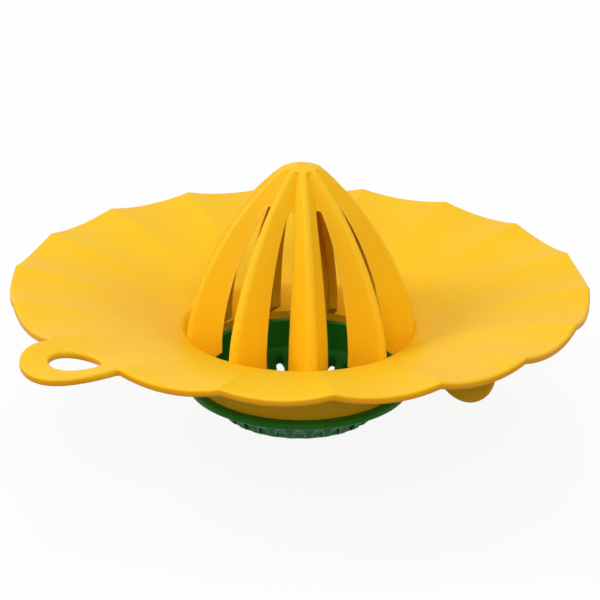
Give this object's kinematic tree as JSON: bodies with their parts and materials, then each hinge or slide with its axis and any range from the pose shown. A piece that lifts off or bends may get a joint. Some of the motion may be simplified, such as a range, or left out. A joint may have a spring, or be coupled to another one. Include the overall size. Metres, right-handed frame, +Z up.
{
  "type": "citrus squeezer",
  "caption": "hand citrus squeezer: ribbed slit reamer on a fluted drip saucer with a hanging loop, over a push-in slotted strainer",
  "frame": {"origin": "centre of the strainer's flat resting face, on the squeezing axis", "axes": "+Z up along the squeezing axis, the hanging loop along -X, the two stop fins along +Y and -Y"},
  "size_m": [0.1863, 0.17, 0.0769],
  "materials": {
    "yellow_plastic": "satin moulded polypropylene",
    "green_plastic": "fine-textured moulded polypropylene"
  },
  "bodies": {
    "squeezer": {"squeezer": "yellow_plastic"},
    "strainer": {"strainer": "green_plastic"}
  },
  "joints": [
    {"name": "strainer_pull", "type": "slide", "parent": "squeezer", "child": "strainer", "axis": [0, 0, -1], "range_m": [0, 0.012]}
  ]
}
